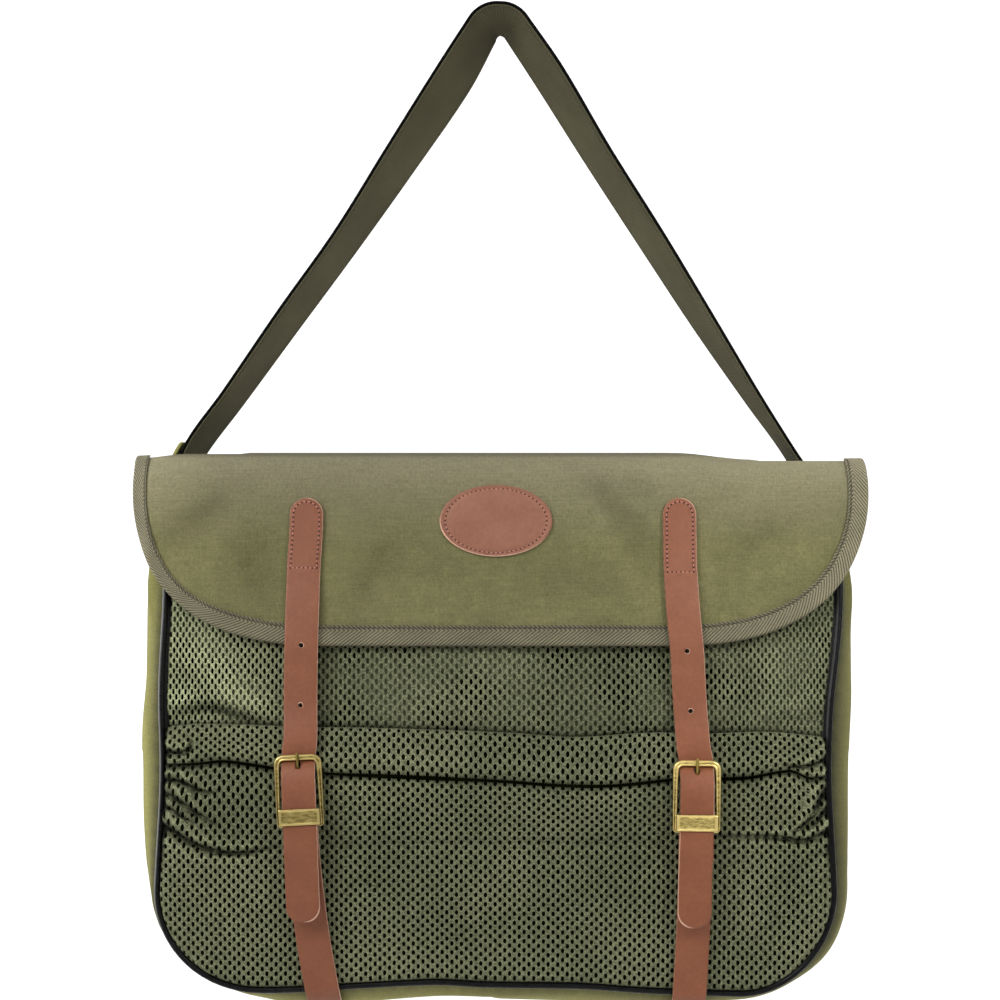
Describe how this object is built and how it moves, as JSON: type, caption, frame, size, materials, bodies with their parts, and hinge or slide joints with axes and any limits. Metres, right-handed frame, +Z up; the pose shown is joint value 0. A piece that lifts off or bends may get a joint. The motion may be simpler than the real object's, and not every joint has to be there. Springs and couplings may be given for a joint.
{
  "type": "hunting game bag",
  "caption": "Canvas shoulder game bag with a spacer-net front and net pocket, a rounded flap bound in tape, and two buckled leather straps.",
  "frame": {"origin": "the hanging point: middle of the shoulder strap's underside at its highest place, where a hook or shoulder would hold it", "axes": "+Z up, -Y out of the bag's front, +X to the right of somebody who looks at the front"},
  "size_m": [0.4444, 0.1273, 0.6176],
  "materials": {
    "canvas": "olive drab woven canvas",
    "net": "olive spacer net with staggered oval holes",
    "binding_tape": "herringbone tape, olive grey",
    "piping": "black piping with a soft shine",
    "leather": "smooth red-brown leather with pale raw edges",
    "antique_brass": "antique brass, worn bright on its edges",
    "strap_tape": "dark olive canvas tape",
    "webbing": "black woven webbing"
  },
  "bodies": {
    "root": {"back_panel": "canvas", "billet_left": "leather", "billet_right": "leather", "buckle_left": "antique_brass", "buckle_right": "antique_brass", "flap": "canvas", "flap_binding": "binding_tape", "front_net": "net", "gusset": "canvas", "keeper_left": "antique_brass", "keeper_right": "antique_brass", "lower_strap_left": "leather", "lower_strap_right": "leather", "net_pocket": "net", "patch": "leather", "piping_back": "piping", "piping_front": "piping", "prong_left": "antique_brass", "prong_right": "antique_brass", "shoulder_strap": "strap_tape", "strap_webbing": "webbing"}
  },
  "joints": []
}
